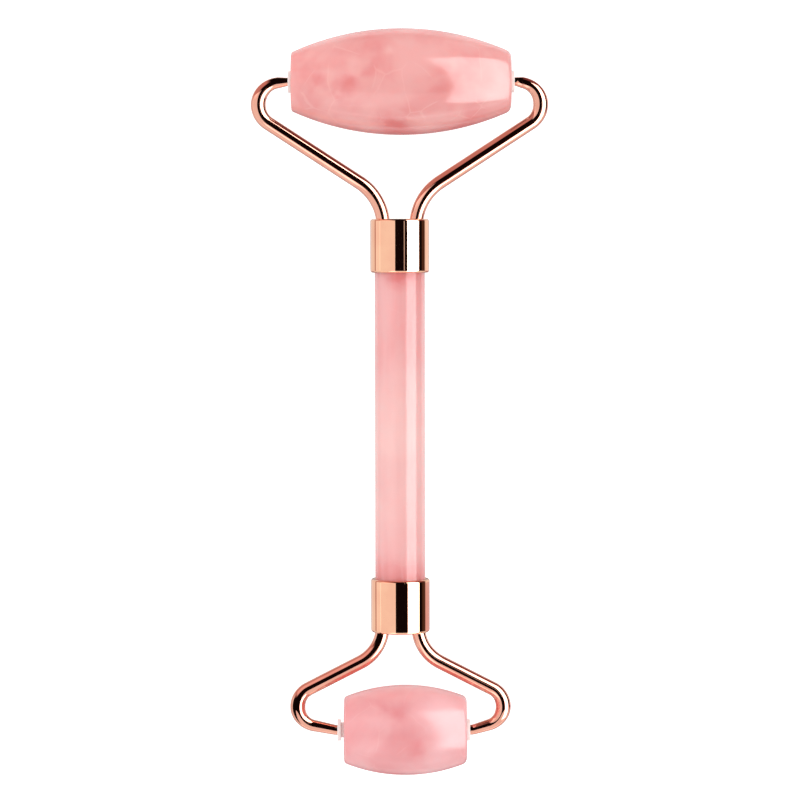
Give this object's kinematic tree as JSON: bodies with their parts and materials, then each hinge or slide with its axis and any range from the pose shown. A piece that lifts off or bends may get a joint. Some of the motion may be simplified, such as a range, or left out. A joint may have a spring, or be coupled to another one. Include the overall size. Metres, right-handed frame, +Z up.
{
  "type": "face roller",
  "caption": "Handheld facial massage roller: a rose quartz rod handle with a free-spinning barrel-shaped stone roller carried between bent rose-gold metal arms at each end.",
  "frame": {"origin": "on the plane the large roller rests on, below the middle of the object's length and of its width", "axes": "+Y along the handle, towards the large head; +X along both roller axes; +Z up, square to the plane that holds the handle and both roller axes"},
  "size_m": [0.0574, 0.145, 0.0205],
  "materials": {
    "rose_quartz": "polished, clouded, slightly translucent pink stone",
    "rose_gold": "mirror-polished rose-gold plating",
    "white_nylon": "smooth, slightly translucent white moulded plastic",
    "cured_adhesive": "clear, slightly yellow cured epoxy",
    "braze_filler": "dull solidified filler metal"
  },
  "bodies": {
    "handle_frame": {"handle_rod": "rose_quartz", "large_ferrule": "rose_gold", "large_arm_braze": "braze_filler", "large_ferrule_adhesive": "cured_adhesive", "large_left_arm": "rose_gold", "large_right_arm": "rose_gold", "small_ferrule": "rose_gold", "small_arm_braze": "braze_filler", "small_ferrule_adhesive": "cured_adhesive", "small_left_arm": "rose_gold", "small_right_arm": "rose_gold"},
    "large_roller": {"large_roller_stone": "rose_quartz", "large_left_bush": "white_nylon", "large_right_bush": "white_nylon"},
    "small_roller": {"small_roller_stone": "rose_quartz", "small_left_bush": "white_nylon", "small_right_bush": "white_nylon"}
  },
  "joints": [
    {"name": "large_roller_spin", "type": "hinge", "parent": "handle_frame", "child": "large_roller", "pos_m": [0.00033, 0.06225, 0.01025], "axis": [1, 0, 0], "continuous": true},
    {"name": "small_roller_spin", "type": "hinge", "parent": "handle_frame", "child": "small_roller", "pos_m": [0.00095, -0.06375, 0.01025], "axis": [1, 0, 0], "continuous": true}
  ]
}
